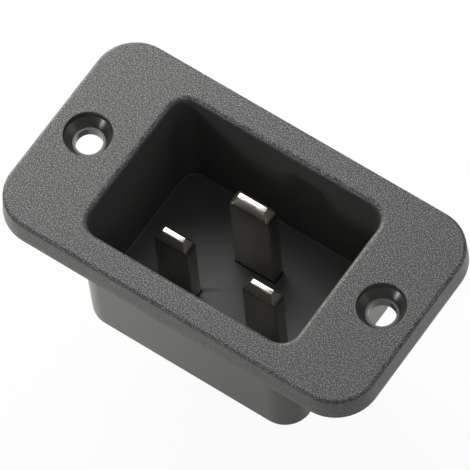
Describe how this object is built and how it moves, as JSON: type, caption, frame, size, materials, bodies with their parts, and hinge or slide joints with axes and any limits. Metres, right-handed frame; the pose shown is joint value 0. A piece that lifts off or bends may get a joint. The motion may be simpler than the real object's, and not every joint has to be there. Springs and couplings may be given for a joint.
{
  "type": "panel power inlet",
  "caption": "Moulded panel power inlet with a screw flange, a drafted rectangular socket around flat contact blades, and quick-connect tabs at the back.",
  "frame": {"origin": "centre of the flange's seat face on the panel, midway between the screw holes", "axes": "+Z out of the front along the mating direction, +X along the flange through both screw holes, +Y towards the earth blade"},
  "size_m": [0.0536, 0.0298, 0.0337],
  "materials": {
    "housing_plastic": "charcoal thermoplastic, spark-eroded grain on the flange face",
    "contact_metal": "nickel plated"
  },
  "bodies": {
    "root": {"housing": "housing_plastic", "live_contact": "contact_metal", "neutral_contact": "contact_metal", "earth_contact": "contact_metal"}
  },
  "joints": []
}
